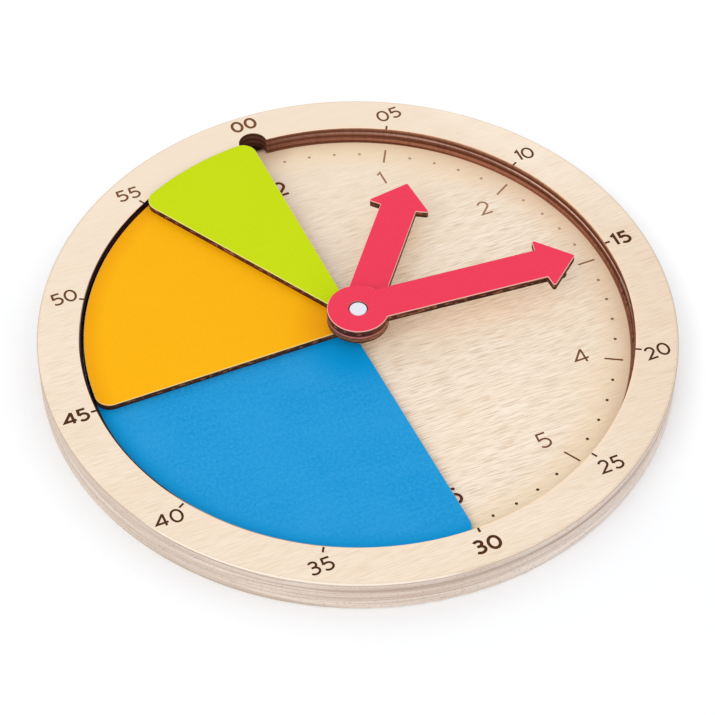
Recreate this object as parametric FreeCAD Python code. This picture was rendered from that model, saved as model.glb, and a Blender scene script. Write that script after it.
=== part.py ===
import FreeCAD, Part

import math
import os

# A learning clock cut from birch plywood, lying on its back with the dial up. A ring of three glued layers on
# a round base board leaves a recess. Three painted time segments are stacked in it, of which the highest
# stands a little over the ring, and two arrow hands turn on a post that is screwed on from behind.
# +Z is up, +Y points to twelve o'clock and +X to three o'clock. The origin is the centre of the underside.
# All sizes are in millimetres and all angles in degrees, clockwise from twelve o'clock.

# Base board and ring
BOARD_RADIUS = 150.0
BASE_THICKNESS = 9.0
RING_WIDTH = 20.0
RING_LAYERS = 3
RING_LAYER_THICKNESS = 3.0
RING_LAYER_STEP = 0.4
OUTER_EDGE_CHAMFER = 0.6
NOTCH_RADIUS = 7.0

# Time segments, listed from the lowest of the stack to the highest, and how far past twelve each one ends
STACKED_SEGMENTS = 3
HALF_HOUR_ANGLE = 180.0
QUARTER_HOUR_ANGLE = 89.1
FIVE_MINUTES_ANGLE = 29.6
HALF_HOUR_END = -1.5
QUARTER_HOUR_END = -0.7
FIVE_MINUTES_END = -0.7
HALF_HOUR_SETBACK = 2.2
HALF_HOUR_RIM_CLEARANCE = 0.4
QUARTER_HOUR_RIM_CLEARANCE = 1.3
FIVE_MINUTES_RIM_CLEARANCE = 0.3
SEGMENT_THICKNESS = 3.6
SEGMENT_TIP_CLEARANCE = 2.0
SEGMENT_CORNER_RADIUS = 7.0

# Hands
HAND_THICKNESS = 3.9
HAND_LIFT_OVER_BOARDS = 0.4
HUB_RADIUS = 14.5
ARM_WIDTH = 17.8
HEAD_WIDTH = 31.0
HEAD_LENGTH = 16.3
HEAD_SWEEP = 1.0
HEAD_CORNER_RADIUS = 0.9
HOUR_HAND_REACH = 89.0
MINUTE_HAND_REACH = 108.5
HOUR_HAND_ANGLE = 39.4
MINUTE_HAND_ANGLE = 95.2
PAINTED_EDGE_CHAMFER = 0.25

# Spacer, post, washers and screw
SPACER_RADIUS = 5.5
POST_RADIUS = 3.0
POST_HEAD_RADIUS = 4.1
POST_HEAD_THICKNESS = 1.8
POST_HEAD_DEPTH_BELOW_HAND = 0.3
POST_HEAD_ROOM = 0.5
POST_HEAD_CHAMFER = 0.25
HAND_WASHER_RADIUS = 5.5
HAND_WASHER_THICKNESS = 0.4
BACK_RECESS_DEPTH = 5.0
BACK_RECESS_ROOM = 0.5
BACK_WASHER_RADIUS = 6.0
BACK_WASHER_THICKNESS = 1.0
SCREW_RADIUS = 1.8
SCREW_GRIP = 12.0
SCREW_HEAD_RADIUS = 4.5
SCREW_HEAD_THICKNESS = 2.2
SCREW_HEAD_CHAMFER = 0.4
SCREW_SLOT_WIDTH = 1.2
SCREW_SLOT_DEPTH = 1.0

# Clearances
RUNNING_CLEARANCE = 0.05
HOLE_CLEARANCE = 0.2
FACE_CLEARANCE = 0.05
STACK_CLEARANCE = 0.1

# Sizes and heights that follow from the sizes above
RING_INNER_RADIUS = BOARD_RADIUS - RING_WIDTH
SEGMENT_PITCH = SEGMENT_THICKNESS + STACK_CLEARANCE
RING_TOP = BASE_THICKNESS + RING_LAYERS * RING_LAYER_THICKNESS
STACK_TOP = BASE_THICKNESS + STACKED_SEGMENTS * SEGMENT_PITCH
HOUR_HAND_BOTTOM = max(RING_TOP, STACK_TOP) + HAND_LIFT_OVER_BOARDS
HAND_PITCH = HAND_THICKNESS + HAND_WASHER_THICKNESS + 2 * FACE_CLEARANCE
MINUTE_HAND_BOTTOM = HOUR_HAND_BOTTOM + HAND_PITCH
SPACER_TOP = HOUR_HAND_BOTTOM - HAND_WASHER_THICKNESS - 2 * FACE_CLEARANCE
POST_TOP = MINUTE_HAND_BOTTOM + HAND_THICKNESS - POST_HEAD_DEPTH_BELOW_HAND
POST_HEAD_BOTTOM = POST_TOP - POST_HEAD_THICKNESS
BACK_WASHER_BOTTOM = BACK_RECESS_DEPTH - BACK_WASHER_THICKNESS

# Geometry
UP = FreeCAD.Vector(0, 0, 1)
CENTRE = FreeCAD.Vector(0, 0, 0)
QUARTER_TURN = 90.0
SAME_PLACE = 1e-4


def disc(radius, bottom, top):
    """A round plate or shaft round the clock's axis."""
    return Part.makeCylinder(radius, top - bottom, FreeCAD.Vector(0, 0, bottom))


def tube(outer_radius, inner_radius, bottom, top):
    """A ring, washer or bush round the clock's axis."""
    return disc(outer_radius, bottom, top).cut(disc(inner_radius, bottom, top))


def rim_edges(solid, radius, height):
    """The full circles of one radius at one height, which is where an edge is eased."""
    found = []
    for edge in solid.Edges:
        curve = edge.Curve
        if not isinstance(curve, Part.Circle):
            continue
        if abs(curve.Radius - radius) < SAME_PLACE and abs(curve.Center.z - height) < SAME_PLACE:
            found.append(edge)
    return found


def upright_edges(solid, places):
    """The vertical edges that stand at the given places in the plane of the board."""
    found = []
    for edge in solid.Edges:
        foot = edge.Vertexes[0].Point
        head = edge.Vertexes[-1].Point
        if math.hypot(foot.x - head.x, foot.y - head.y) > SAME_PLACE:
            continue
        if any(math.hypot(foot.x - x, foot.y - y) < SAME_PLACE for x, y in places):
            found.append(edge)
    return found


def flat_outline_edges(solid, heights):
    """All edges of the flat faces at the given heights."""
    found = []
    for face in solid.Faces:
        box = face.BoundBox
        if box.ZLength < SAME_PLACE and any(abs(box.ZMin - height) < SAME_PLACE for height in heights):
            found.extend(face.OuterWire.Edges)
    return found


def turn_clockwise(shape, angle):
    """The shape turned about the clock's axis, from twelve o'clock towards three."""
    turned = shape.copy()
    turned.rotate(CENTRE, UP, -angle)
    return turned


def base_board():
    """The round board, with the hole for the post and the recess for its fastening in the back."""
    board = disc(BOARD_RADIUS, 0, BASE_THICKNESS)
    board = board.makeChamfer(OUTER_EDGE_CHAMFER, rim_edges(board, BOARD_RADIUS, 0))
    board = board.cut(disc(POST_RADIUS + HOLE_CLEARANCE, 0, BASE_THICKNESS))
    return board.cut(disc(BACK_WASHER_RADIUS + BACK_RECESS_ROOM, 0, BACK_RECESS_DEPTH))


def recess_radius(height):
    """The recess is widest at its mouth. Each ring layer below the highest steps in a little."""
    layer = int((height - BASE_THICKNESS) / RING_LAYER_THICKNESS + SAME_PLACE)
    return RING_INNER_RADIUS - max(0, RING_LAYERS - 1 - layer) * RING_LAYER_STEP


def ring_layer(number):
    """One layer of the ring round the recess, with a half-round notch at twelve for a fingertip."""
    bottom = BASE_THICKNESS + number * RING_LAYER_THICKNESS
    top = bottom + RING_LAYER_THICKNESS
    layer = tube(BOARD_RADIUS, recess_radius(bottom), bottom, top)
    if number == RING_LAYERS - 1:
        layer = layer.makeChamfer(OUTER_EDGE_CHAMFER, rim_edges(layer, BOARD_RADIUS, top))
    notch = disc(NOTCH_RADIUS, bottom, top)
    notch.translate(FreeCAD.Vector(0, RING_INNER_RADIUS, 0))
    return layer.cut(notch)


def time_segment(level, span, end, rim_clearance, setback=0.0):
    """A slice of a disc that ends close to twelve o'clock, with a hollow tip that goes round the spacer. The
    straight edge of a half disc can be set back from the middle, so that it drops in easily."""
    bottom = BASE_THICKNESS + level * SEGMENT_PITCH + STACK_CLEARANCE
    top = bottom + SEGMENT_THICKNESS
    radius = recess_radius(bottom) - rim_clearance
    centre = FreeCAD.Vector(0, 0, bottom)
    segment = Part.makeCylinder(radius, SEGMENT_THICKNESS, centre, UP, span)
    segment = turn_clockwise(segment, -QUARTER_TURN)
    ends = [math.radians(-span), 0.0]
    corners = [(radius * math.sin(angle), radius * math.cos(angle)) for angle in ends]
    if setback > 0:
        half_chord = math.sqrt(radius ** 2 - setback ** 2)
        corners = [(-setback, -half_chord), (-setback, half_chord)]
        strip = Part.makeBox(2 * setback, 2 * radius + 2, SEGMENT_THICKNESS)
        strip.translate(FreeCAD.Vector(-setback, -radius - 1, bottom))
        segment = segment.cut(strip)
    segment = segment.makeFillet(SEGMENT_CORNER_RADIUS, upright_edges(segment, corners))
    segment = segment.cut(disc(SPACER_RADIUS + SEGMENT_TIP_CLEARANCE, bottom, top))
    segment = segment.makeChamfer(PAINTED_EDGE_CHAMFER, flat_outline_edges(segment, [bottom, top]))
    return turn_clockwise(segment, end)


def arrow_outline(reach):
    """The outline of a hand that points to twelve: a round hub, a straight arm and a swept arrowhead."""
    half_arm = ARM_WIDTH / 2
    half_head = HEAD_WIDTH / 2
    hub_exit = math.sqrt(HUB_RADIUS ** 2 - half_arm ** 2)
    barb = reach - HEAD_LENGTH
    neck = barb - HEAD_SWEEP
    points = [
        (half_arm, hub_exit),
        (half_arm, neck),
        (half_head, barb),
        (0, reach),
        (-half_head, barb),
        (-half_arm, neck),
        (-half_arm, hub_exit),
    ]
    vectors = [FreeCAD.Vector(x, y, 0) for x, y in points]
    back_of_hub = FreeCAD.Vector(0, -HUB_RADIUS, 0)
    hub = Part.Arc(vectors[-1], back_of_hub, vectors[0]).toShape()
    return Part.Wire(Part.makePolygon(vectors).Edges + [hub]), points[2:5]


def hand(reach, bottom, angle):
    """An arrow hand with its running bore, turned to where it points."""
    outline, head_corners = arrow_outline(reach)
    solid = Part.Face(outline).extrude(FreeCAD.Vector(0, 0, HAND_THICKNESS))
    solid = solid.makeFillet(HEAD_CORNER_RADIUS, upright_edges(solid, head_corners))
    solid = solid.makeChamfer(PAINTED_EDGE_CHAMFER, flat_outline_edges(solid, [0, HAND_THICKNESS]))
    solid.translate(FreeCAD.Vector(0, 0, bottom))
    solid = solid.cut(disc(POST_RADIUS + RUNNING_CLEARANCE, bottom, bottom + HAND_THICKNESS))
    return turn_clockwise(solid, angle)


def hour_hand():
    """The short hand, the lower of the two."""
    return hand(HOUR_HAND_REACH, HOUR_HAND_BOTTOM, HOUR_HAND_ANGLE)


def minute_hand():
    """The long hand, with a recess in its face that holds the head of the post."""
    solid = hand(MINUTE_HAND_REACH, MINUTE_HAND_BOTTOM, MINUTE_HAND_ANGLE)
    recess_bottom = POST_HEAD_BOTTOM - FACE_CLEARANCE
    recess_top = MINUTE_HAND_BOTTOM + HAND_THICKNESS
    return solid.cut(disc(POST_HEAD_RADIUS + POST_HEAD_ROOM, recess_bottom, recess_top))


def hub_spacer():
    """The bush that stands on the dial and lifts the hands over the ring."""
    return tube(SPACER_RADIUS, POST_RADIUS + HOLE_CLEARANCE, BASE_THICKNESS, SPACER_TOP)


def hand_washers():
    """Two equal washers, one under each hand."""
    washers = []
    for hand_bottom in (HOUR_HAND_BOTTOM, MINUTE_HAND_BOTTOM):
        top = hand_bottom - FACE_CLEARANCE
        bottom = top - HAND_WASHER_THICKNESS
        washers.append(tube(HAND_WASHER_RADIUS, POST_RADIUS + HOLE_CLEARANCE, bottom, top))
    return Part.makeCompound(washers)


def pivot_post():
    """The headed sleeve that the hands turn on. Its end stands on the back washer, so that the screw can
    be tightened without pinching the hands."""
    head = disc(POST_HEAD_RADIUS, POST_HEAD_BOTTOM, POST_TOP)
    head = head.makeChamfer(POST_HEAD_CHAMFER, rim_edges(head, POST_HEAD_RADIUS, POST_TOP))
    sleeve = disc(POST_RADIUS, BACK_RECESS_DEPTH, POST_HEAD_BOTTOM)
    screw_hole = disc(SCREW_RADIUS + RUNNING_CLEARANCE, BACK_RECESS_DEPTH, BACK_RECESS_DEPTH + SCREW_GRIP)
    return head.fuse(sleeve).removeSplitter().cut(screw_hole)


def back_washer():
    """The washer on the floor of the recess in the back, which carries the post and the screw's head."""
    return tube(BACK_WASHER_RADIUS, SCREW_RADIUS + HOLE_CLEARANCE, BACK_WASHER_BOTTOM, BACK_RECESS_DEPTH)


def back_screw():
    """The slotted screw that holds the post from behind."""
    head_bottom = BACK_WASHER_BOTTOM - SCREW_HEAD_THICKNESS
    head = disc(SCREW_HEAD_RADIUS, head_bottom, BACK_WASHER_BOTTOM)
    head = head.makeChamfer(SCREW_HEAD_CHAMFER, rim_edges(head, SCREW_HEAD_RADIUS, head_bottom))
    slot_corner = FreeCAD.Vector(-SCREW_HEAD_RADIUS, -SCREW_SLOT_WIDTH / 2, head_bottom)
    slot = Part.makeBox(2 * SCREW_HEAD_RADIUS, SCREW_SLOT_WIDTH, SCREW_SLOT_DEPTH, slot_corner)
    shank = disc(SCREW_RADIUS, BACK_WASHER_BOTTOM, BACK_RECESS_DEPTH + SCREW_GRIP - HOLE_CLEARANCE)
    return head.cut(slot).fuse(shank).removeSplitter()


HALF_HOUR = time_segment(0, HALF_HOUR_ANGLE, HALF_HOUR_END, HALF_HOUR_RIM_CLEARANCE, HALF_HOUR_SETBACK)
QUARTER_HOUR = time_segment(1, QUARTER_HOUR_ANGLE, QUARTER_HOUR_END, QUARTER_HOUR_RIM_CLEARANCE)
FIVE_MINUTES = time_segment(2, FIVE_MINUTES_ANGLE, FIVE_MINUTES_END, FIVE_MINUTES_RIM_CLEARANCE)

NODES = {
    "base_board": base_board(),
    "ring_layer_lower": ring_layer(0),
    "ring_layer_middle": ring_layer(1),
    "ring_layer_upper": ring_layer(2),
    "segment_half_hour": HALF_HOUR,
    "segment_quarter_hour": QUARTER_HOUR,
    "segment_five_minutes": FIVE_MINUTES,
    "hub_spacer": hub_spacer(),
    "hand_washers": hand_washers(),
    "hour_hand": hour_hand(),
    "minute_hand": minute_hand(),
    "pivot_post": pivot_post(),
    "back_washer": back_washer(),
    "back_screw": back_screw(),
}

os.makedirs("parts", exist_ok=True)
for name, shape in NODES.items():
    shape.exportStep(os.path.join("parts", name + ".step"))
    print(name, "solids", len(shape.Solids), "valid", shape.isValid(), "volume", round(shape.Volume, 1))
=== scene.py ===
import math

import bmesh
import bpy
from mathutils import Euler, Matrix, Vector


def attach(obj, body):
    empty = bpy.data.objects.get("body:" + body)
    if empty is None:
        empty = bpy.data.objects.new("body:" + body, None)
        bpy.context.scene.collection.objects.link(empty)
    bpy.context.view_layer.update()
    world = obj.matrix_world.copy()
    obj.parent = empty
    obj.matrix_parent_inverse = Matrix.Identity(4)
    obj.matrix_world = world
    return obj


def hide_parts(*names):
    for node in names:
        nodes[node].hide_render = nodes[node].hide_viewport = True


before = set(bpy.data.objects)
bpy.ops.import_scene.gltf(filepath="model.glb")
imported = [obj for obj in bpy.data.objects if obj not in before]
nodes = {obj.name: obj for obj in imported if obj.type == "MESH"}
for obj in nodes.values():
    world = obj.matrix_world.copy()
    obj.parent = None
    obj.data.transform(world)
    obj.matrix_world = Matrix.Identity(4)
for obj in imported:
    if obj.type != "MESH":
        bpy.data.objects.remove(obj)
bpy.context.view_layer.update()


# ---------------------------------------------------------------------------------------------------------
# Base board. A disc of 9 mm birch plywood, 300 mm across, sanded and left bare, with its grain running from
# nine to three. The laser that cuts it also burns the dial into its face: dots for the minutes, ticks for
# the hours, and the hours 1 to 12, of which 12, 3, 6 and 9 are larger and heavier.
# ---------------------------------------------------------------------------------------------------------
MM = 0.001
BASE_TOP = 9 * MM
BOARDS_HEIGHT = 18.0
PLY_LAYER = 3.0
RIM_FROM = 143.0
BURN_DEPTH = 0.28 * MM
BURN_START = 0.4 * MM
BEND_STEP = 11
SHARP_EDGE = 30
MINUTE_DOT_RING = 121.0
MINUTE_DOT_WIDTH = 1.55
MINUTE_DOT_SIDES = 14
HOUR_TICK_FROM = 115.9
HOUR_TICK_TO = 124.7
HOUR_TICK_WIDTH = 0.95
HOUR_RING = 104.7
HOUR_HEIGHT = 9.0
HOUR_LINE = 1.0
MAIN_HOUR_RING = 103.6
MAIN_HOUR_HEIGHT = 9.9
MAIN_HOUR_LINE = 1.5
MAIN_HOUR_NUDGE = {3: (1.4, -0.6), 6: (1.3, -0.4), 9: (0.6, 0.0), 12: (1.4, -0.2)}
NUMBER_GAP = 0.66
DOT_BURN = 1
MAIN_HOUR_BURN = 2
DIAL_SHIFT = (0.05, -0.45)
FOOT_SHADE_FROM = 109.0
FOOT_SHADE_TO = 127.0
GLUE_LINE = 129.2
GLUE_SHIFT = 1.1
NOTCH_FOOT = (0.007, 0.133, BASE_TOP)
HAZE_REACH = 17 * MM
NOTCH_FROM = 130.6
NOTCH_TO = 133.0


def shade(red, green, blue):
    """A finish named by its red, green and blue from 0 to 255, as a paint chart gives them."""
    parts = []
    for part in (red, green, blue):
        share = part / 255
        parts.append(share / 12.92 if share <= 0.04045 else ((share + 0.055) / 1.055) ** 2.4)
    return (*parts, 1.0)


VENEER = shade(250, 234, 214)
VENEER_LIGHT = shade(253, 239, 221)
VENEER_WARM = shade(253, 226, 192)
HAIRLINE = shade(226, 201, 175)
LONG_STREAK = shade(232, 207, 182)
PORE = shade(206, 170, 134)
PLY_LIGHT = shade(239, 223, 210)
PLY_MIDDLE = shade(222, 203, 189)
PLY_DARK = shade(206, 184, 169)
PLY_DARKEST = shade(184, 161, 147)
RIM_PLIES = (
    (0.0, PLY_LIGHT), (0.8, PLY_LIGHT), (1.6, PLY_MIDDLE), (2.6, PLY_LIGHT), (4.5, PLY_LIGHT),
    (6.6, PLY_MIDDLE), (8.1, PLY_DARK), (8.8, PLY_MIDDLE), (10.2, PLY_MIDDLE), (11.6, PLY_MIDDLE),
    (12.7, PLY_DARKEST), (13.4, PLY_DARKEST), (14.4, PLY_MIDDLE), (17.2, PLY_MIDDLE), (18.0, PLY_LIGHT),
)
DARK_PLY = 12.6
# The lowest of these lines, at the foot of the edge, is partly a painted contact shadow.
RIM_LINES = ((0.3, 1.1, 0.55), (5.7, 0.6, 0.3), (16.6, 0.5, 0.45))
SOOT = shade(60, 30, 18)
TAN = shade(176, 112, 78)
EDGE_YELLOWED_AND_SHADED = shade(230, 213, 194)
EDGE_PAINTED_LIGHT = shade(249, 235, 225)
EDGE_FIBRE = shade(198, 178, 160)
PLY_SEAM = shade(180, 162, 142)
STRATUM_DARK = shade(186, 162, 148)
STRATUM_PALE = shade(250, 238, 228)
VESSEL = shade(168, 143, 132)
EDGE_LINE = shade(158, 142, 124)
CORE_BURNT = shade(92, 48, 30)
FACE_PLY_BROWNED = shade(158, 100, 76)
CHAR = shade(50, 24, 16)
TAN_FLECK = shade(190, 124, 86)
DIAL_TINT = shade(253, 250, 247)
FOOT_SHADE_WARM = shade(255, 229, 190)
FOOT_SHADE_DARK = shade(240, 210, 176)
SMOKE_HAZE = shade(196, 150, 124)
GLUE_AND_SHADOW_BROWN = shade(150, 94, 66)
NOTCH_PAINTED_SHADE = shade(40, 20, 14)


def new_finish(name):
    """A finish to work on: the material, its nodes and its shader."""
    material = bpy.data.materials.new(name)
    material.use_nodes = True
    return material, material.node_tree, material.node_tree.nodes["Principled BSDF"]


def feed(socket, value):
    """Puts a number, a colour or another node's output into a socket."""
    if isinstance(value, bpy.types.NodeSocket):
        socket.id_data.links.new(value, socket)
    else:
        socket.default_value = value


def worked_out(tree, operation, first, second=0.0):
    """A Math node."""
    node = tree.nodes.new("ShaderNodeMath")
    node.operation = operation
    feed(node.inputs[0], first)
    feed(node.inputs[1], second)
    return node.outputs[0]


def times(tree, first, second):
    """One number times another."""
    return worked_out(tree, "MULTIPLY", first, second)


def plus(tree, first, second):
    """One number and another."""
    return worked_out(tree, "ADD", first, second)


def less(tree, first, second):
    """One number less another."""
    return worked_out(tree, "SUBTRACT", first, second)


def away_from(tree, value, level):
    """How far a number is from a level, on either side."""
    return worked_out(tree, "ABSOLUTE", less(tree, value, level))


def step(tree, value, low, high):
    """0 below low, 1 above high, and a straight rise in between. It falls where low is above high."""
    node = tree.nodes.new("ShaderNodeMapRange")
    feed(node.inputs["Value"], value)
    node.inputs["From Min"].default_value = low
    node.inputs["From Max"].default_value = high
    return node.outputs["Result"]


def between(tree, share, first, second):
    """One colour over another, by a share from 0 to 1."""
    node = tree.nodes.new("ShaderNodeMix")
    node.data_type = "RGBA"
    feed(node.inputs[0], share)
    feed(node.inputs[6], first)
    feed(node.inputs[7], second)
    return node.outputs[2]


def coated(tree, colour, where, strength, coat):
    """A colour with a coat over it, where a mask is 1 and as strong as is said."""
    return between(tree, times(tree, where, strength), colour, coat)


def stained(tree, share, colour, stain, blend="MULTIPLY"):
    """A colour seen through a thin stain, by a share from 0 to 1."""
    node = tree.nodes.new("ShaderNodeMix")
    node.data_type = "RGBA"
    node.blend_type = blend
    feed(node.inputs[0], share)
    feed(node.inputs[6], colour)
    feed(node.inputs[7], stain)
    return node.outputs[2]


def between_numbers(tree, share, first, second):
    """One number over another, by a share from 0 to 1."""
    node = tree.nodes.new("ShaderNodeMix")
    node.data_type = "FLOAT"
    feed(node.inputs[0], share)
    feed(node.inputs[2], first)
    feed(node.inputs[3], second)
    return node.outputs[0]


def stretched_noise(tree, scale, place=(0, 0, 0), detail=3.0, roughness=0.55, warp=None):
    """Noise in the board's own place, with its own size along each side of the board, per metre."""
    coordinates = tree.nodes.new("ShaderNodeTexCoord").outputs["Object"]
    if warp is not None:
        added = tree.nodes.new("ShaderNodeVectorMath")
        feed(added.inputs[0], coordinates)
        feed(added.inputs[1], warp)
        coordinates = added.outputs[0]
    mapping = tree.nodes.new("ShaderNodeMapping")
    feed(mapping.inputs["Vector"], coordinates)
    mapping.inputs["Location"].default_value = place
    mapping.inputs["Scale"].default_value = scale
    noise = tree.nodes.new("ShaderNodeTexNoise")
    feed(noise.inputs["Vector"], mapping.outputs[0])
    noise.inputs["Scale"].default_value = 1.0
    noise.inputs["Detail"].default_value = detail
    noise.inputs["Roughness"].default_value = roughness
    return noise.outputs["Fac"]


def place_on_board(tree):
    """How far a point lies right of the axis of the hands, towards twelve and over the table, in metres."""
    coordinates = tree.nodes.new("ShaderNodeTexCoord")
    split = tree.nodes.new("ShaderNodeSeparateXYZ")
    feed(split.inputs[0], coordinates.outputs["Object"])
    return split.outputs[0], split.outputs[1], split.outputs[2]


def height_in_board(tree):
    """How high a point lies over the table, in millimetres."""
    return times(tree, place_on_board(tree)[2], 1 / MM)


def wavering_height(tree, scale, place):
    """The same height, but wavering by up to a quarter of a millimetre, as plies do."""
    height = height_in_board(tree)
    waver = stretched_noise(tree, scale, place, 2.0)
    return plus(tree, height, times(tree, less(tree, waver, 0.5), 0.5))


def distance_from_axis(tree, left=0.0):
    """How far a point lies from the axis of the hands, or from a line left of it, in millimetres."""
    coordinates = tree.nodes.new("ShaderNodeTexCoord")
    flat = tree.nodes.new("ShaderNodeVectorMath")
    flat.operation = "MULTIPLY_ADD"
    feed(flat.inputs[0], coordinates.outputs["Object"])
    flat.inputs[1].default_value = (1 / MM, 1 / MM, 0)
    flat.inputs[2].default_value = (left, 0, 0)
    length = tree.nodes.new("ShaderNodeVectorMath")
    length.operation = "LENGTH"
    feed(length.inputs[0], flat.outputs[0])
    return length.outputs["Value"]


def facings(tree):
    """How far a face turns to the right, towards twelve and up: 1 straight there, 0 across and -1 away."""
    geometry = tree.nodes.new("ShaderNodeNewGeometry")
    split = tree.nodes.new("ShaderNodeSeparateXYZ")
    feed(split.inputs[0], geometry.outputs["True Normal"])
    return split.outputs[0], split.outputs[1], split.outputs[2]


def banded(tree, height, bottom, reach, bands):
    """The colours of plies that lie over each other, each given by its level and its colour."""
    ramp = tree.nodes.new("ShaderNodeValToRGB")
    feed(ramp.inputs[0], worked_out(tree, "DIVIDE", less(tree, height, bottom), reach))
    while len(ramp.color_ramp.elements) < len(bands):
        ramp.color_ramp.elements.new(0.5)
    for element, (level, colour) in zip(ramp.color_ramp.elements, bands):
        element.position = (level - bottom) / reach
        element.color = colour
    return ramp.outputs[0]


def fine_surface(tree, shader, height, depth_mm):
    """Relief too fine for the mesh, from a height between 0 and 1."""
    bump = tree.nodes.new("ShaderNodeBump")
    bump.inputs["Strength"].default_value = 1.0
    bump.inputs["Distance"].default_value = depth_mm * MM
    feed(bump.inputs["Height"], height)
    feed(shader.inputs["Normal"], bump.outputs[0])


def uneven_gloss(tree, shader, base, relief, reach):
    """Roughness that varies a little with the relief."""
    feed(shader.inputs["Roughness"], plus(tree, base, times(tree, relief, reach)))


def veneer(tree, place, strength=1.0):
    """The face veneer of birch: a pale ground with soft bands, crisp hairlines and short brown pores, calmer
    towards twelve."""
    drift = stretched_noise(tree, (9, 9, 0), place, 1.0)
    shift = tree.nodes.new("ShaderNodeCombineXYZ")
    feed(shift.inputs[1], times(tree, less(tree, drift, 0.5), 11 * MM))
    warp = shift.outputs[0]
    bands = stretched_noise(tree, (7, 85, 0), place, 3.0, 0.6, warp)
    grain = stretched_noise(tree, (85, 2300, 0), place, 1.0, 0.6, warp)
    long_grain = stretched_noise(tree, (12, 900, 0), place, 1.0, 0.6, warp)
    pores = stretched_noise(tree, (110, 1900, 0), place, 2.0, 0.5, warp)
    clouds = stretched_noise(tree, (11, 17, 0), place, 2.0)
    near = times(tree, step(tree, place_on_board(tree)[1], 0.13, 0.02), 0.8)
    lively = times(tree, plus(tree, 0.2, near), strength)
    hairlines = times(tree, step(tree, grain, 0.515, 0.60), lively)
    streaks = times(tree, step(tree, long_grain, 0.52, 0.68), lively)
    specks = times(tree, step(tree, pores, 0.58, 0.68), lively)
    colour = between(tree, step(tree, bands, 0.34, 0.70), VENEER_LIGHT, VENEER)
    colour = coated(tree, colour, hairlines, 0.95, HAIRLINE)
    colour = coated(tree, colour, streaks, 0.2, LONG_STREAK)
    colour = coated(tree, colour, specks, 0.3, PORE)
    colour = coated(tree, colour, step(tree, clouds, 0.48, 0.72), 0.28 * strength * strength, VENEER_WARM)
    relief = less(tree, times(tree, grain, 0.6), times(tree, specks, 0.5))
    return colour, relief


def sanded_edge(tree):
    """The sanded outer edge of the boards: pale plies, every other one end grain, and thin glue lines. To the
    left it is yellower and darker, partly painted shade, and its lines are crisp, the lowest partly a painted
    contact shadow. To the right it is lighter round one dark ply, as painted light."""
    height = wavering_height(tree, (30, 30, 120), (3, 1, 2))
    fibres = stretched_noise(tree, (260, 260, 900), (0, 0, 0), 3.0, 0.6)
    strata = stretched_noise(tree, (14, 14, 1300), (6, 2, 0), 2.0, 0.6)
    vessels = stretched_noise(tree, (700, 700, 1500), (3, 8, 5), 1.0)
    plies_apart = stretched_noise(tree, (8, 8, 520), (1, 4, 9), 2.0, 0.6)
    right = place_on_board(tree)[0]
    left = step(tree, right, -0.04, -0.11)
    off_centre = step(tree, away_from(tree, height, DARK_PLY), 0.8, 3.0)
    colour = banded(tree, height, 0.0, BOARDS_HEIGHT, RIM_PLIES)
    # Painted shade, with a yellower tone: the edge is darker to the left.
    colour = coated(tree, colour, left, 0.6, EDGE_YELLOWED_AND_SHADED)
    # Painted light: the edge is lighter to the right, round the dark ply.
    painted_light_right = times(tree, step(tree, right, -0.01, 0.05), off_centre)
    colour = coated(tree, colour, painted_light_right, 0.55, EDGE_PAINTED_LIGHT)
    colour = coated(tree, colour, step(tree, fibres, 0.45, 0.7), 0.25, EDGE_FIBRE)
    lines = times(tree, left, step(tree, plies_apart, 0.53, 0.60))
    colour = coated(tree, colour, lines, 0.4, PLY_SEAM)
    colour = coated(tree, colour, step(tree, strata, 0.53, 0.60), 0.45, STRATUM_DARK)
    colour = coated(tree, colour, step(tree, strata, 0.46, 0.40), 0.45, STRATUM_PALE)
    colour = coated(tree, colour, step(tree, vessels, 0.60, 0.68), 0.42, VESSEL)
    for level, reach, strength in RIM_LINES:
        line = times(tree, left, step(tree, away_from(tree, height, level), reach, reach / 3))
        colour = coated(tree, colour, line, strength, EDGE_LINE)
    return colour, fibres


def scorched_wall(tree, bottom, thickness, core=CORE_BURNT, face_plies=FACE_PLY_BROWNED):
    """A laser-cut wall of thin boards, counted from the bottom of one: the middle of each is burnt dark, and
    its two face plies stay a glossy reddish brown with tan flecks. Away from the hub it is darker."""
    height = wavering_height(tree, (60, 60, 200), (1, 5, 2))
    level = worked_out(tree, "DIVIDE", less(tree, height, bottom), thickness)
    wave = worked_out(tree, "COSINE", times(tree, level, math.tau))
    streaks = stretched_noise(tree, (420, 420, 60), (7, 3, 1), 3.0, 0.65)
    soot = stretched_noise(tree, (50, 50, 300), (2, 2, 8), 3.0, 0.6)
    flecks = stretched_noise(tree, (300, 300, 800), (9, 4, 6), 2.0)
    colour = between(tree, step(tree, wave, -0.5, 0.7), core, face_plies)
    colour = coated(tree, colour, step(tree, streaks, 0.45, 0.75), 0.4, SOOT)
    colour = coated(tree, colour, step(tree, soot, 0.52, 0.78), 0.4, TAN)
    colour = coated(tree, colour, step(tree, distance_from_axis(tree), 15.0, 17.0), 0.6, CHAR)
    colour = coated(tree, colour, step(tree, flecks, 0.52, 0.63), 0.55, TAN_FLECK)
    return colour, streaks


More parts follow.
